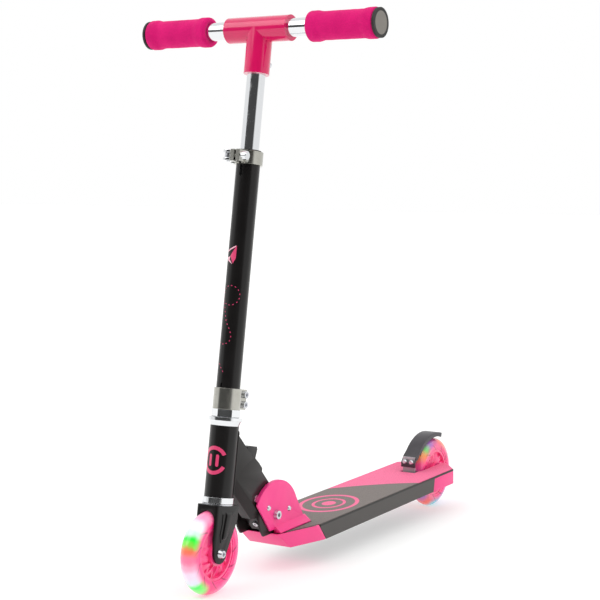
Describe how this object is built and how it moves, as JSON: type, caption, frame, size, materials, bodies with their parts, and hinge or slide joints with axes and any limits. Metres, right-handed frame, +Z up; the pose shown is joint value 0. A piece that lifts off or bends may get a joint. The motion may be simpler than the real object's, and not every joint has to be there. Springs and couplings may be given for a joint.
{
  "type": "kick scooter",
  "caption": "Folding child's kick scooter with a flat deck, light-up wheels, rear fender brake, sliding column and pull-out handlebars.",
  "frame": {"origin": "on the floor, midway between the two axles and on the scooter's centre plane", "axes": "+X forward, +Y to the rider's left, +Z up"},
  "size_m": [0.652, 0.3318, 0.6817],
  "materials": {
    "deck_metal": "satin",
    "grip_tape": "gritty",
    "pink_metal": "gloss",
    "pink_plastic": "gloss",
    "black_metal": "gloss",
    "black_plastic": "satin",
    "steel": "brushed",
    "chrome": "polished",
    "tyre_clear": "translucent",
    "hub_pink": "translucent",
    "lamp": "clear",
    "foam": "matt foam",
    "cap_rubber": "matt"
  },
  "bodies": {
    "deck_body": {"deck": "deck_metal", "grip_tape": "grip_tape", "nose_bracket": "pink_metal", "tail_bracket": "pink_metal", "fold_bracket": "black_metal", "bracket_bolts": "steel", "left_cover": "pink_plastic", "right_cover": "pink_plastic", "cover_screws": "steel", "pivot_bolt": "steel", "rear_axle": "steel", "rear_magnet": "steel", "brake_pin": "steel", "brake_spring": "steel"},
    "rear_wheel": {"rear_tyre": "tyre_clear", "rear_hub": "hub_pink", "rear_bearings": "steel", "rear_lights": "lamp"},
    "brake": {"brake_arm": "steel", "fender": "black_plastic", "fender_screws": "steel"},
    "neck_body": {"neck": "black_metal", "pivot_block": "black_metal", "stop_screw": "steel", "head_tube": "black_metal", "headset_cups": "chrome", "headset_bearings": "steel", "lever_pin": "steel", "lever_spring": "steel"},
    "lever": {"release_lever": "black_plastic"},
    "steering": {"fork": "black_metal", "headset_races": "steel", "column_nut": "chrome", "stem_clamp": "chrome", "stem_clamp_bolts": "steel", "column_tube": "black_metal", "top_bush": "black_plastic", "height_clamp": "chrome", "clamp_rod": "steel", "clamp_nut": "chrome", "front_axle": "steel", "front_magnet": "steel"},
    "quick_release": {"clamp_lever": "chrome"},
    "front_wheel": {"front_tyre": "tyre_clear", "front_hub": "hub_pink", "front_bearings": "steel", "front_lights": "lamp"},
    "stem": {"slide_tube": "chrome", "guide_plug": "black_plastic", "tee": "pink_metal", "tee_screw": "steel"},
    "left_handlebar": {"left_bar": "chrome", "left_grip": "foam", "left_cap": "cap_rubber"},
    "right_handlebar": {"right_bar": "chrome", "right_grip": "foam", "right_cap": "cap_rubber"},
    "left_snap": {"left_button": "steel"},
    "right_snap": {"right_button": "steel"}
  },
  "joints": [
    {"name": "rear_wheel_spin", "type": "hinge", "parent": "deck_body", "child": "rear_wheel", "pos_m": [-0.276, 0, 0.05], "axis": [0, 1, 0], "continuous": true},
    {"name": "brake_press", "type": "hinge", "parent": "deck_body", "child": "brake", "pos_m": [-0.212, 0, 0.05], "axis": [0, -1, 0], "range_deg": [0, 4.5], "stiffness_Nm_per_rad": 6, "springref_deg": -4.58},
    {"name": "fold", "type": "hinge", "parent": "deck_body", "child": "neck_body", "pos_m": [0.1659, 0, 0.07555], "axis": [0, -1, 0], "range_deg": [0, 82]},
    {"name": "release_lever_press", "type": "hinge", "parent": "neck_body", "child": "lever", "pos_m": [0.2005, 0, 0.10095], "axis": [0, 1, 0], "range_deg": [0, 5], "stiffness_Nm_per_rad": 0.5, "springref_deg": -17.19},
    {"name": "steer", "type": "hinge", "parent": "neck_body", "child": "steering", "pos_m": [0.25277, 0, 0.14752], "axis": [-0.1623, 0, 0.9867], "continuous": true},
    {"name": "quick_release_open", "type": "hinge", "parent": "steering", "child": "quick_release", "pos_m": [0.2159, -0.0134, 0.51339], "axis": [-0.1623, 0, 0.9867], "range_deg": [0, 160]},
    {"name": "front_wheel_spin", "type": "hinge", "parent": "steering", "child": "front_wheel", "pos_m": [0.276, 0, 0.05], "axis": [0, 1, 0], "continuous": true},
    {"name": "handlebar_height", "type": "slide", "parent": "steering", "child": "stem", "axis": [-0.1623, 0, 0.9867], "range_m": [-0.088, 0.04]},
    {"name": "left_bar_pull", "type": "slide", "parent": "stem", "child": "left_handlebar", "axis": [0, 1, 0], "range_m": [0, 0.028]},
    {"name": "right_bar_pull", "type": "slide", "parent": "stem", "child": "right_handlebar", "axis": [0, -1, 0], "range_m": [0, 0.028]},
    {"name": "left_snap_press", "type": "slide", "parent": "left_handlebar", "child": "left_snap", "axis": [0.9867, 0, 0.1623], "range_m": [0, 0.0022], "stiffness_N_per_m": 400, "springref_m": -0.003},
    {"name": "right_snap_press", "type": "slide", "parent": "right_handlebar", "child": "right_snap", "axis": [0.9867, 0, 0.1623], "range_m": [0, 0.0022], "stiffness_N_per_m": 400, "springref_m": -0.003}
  ]
}
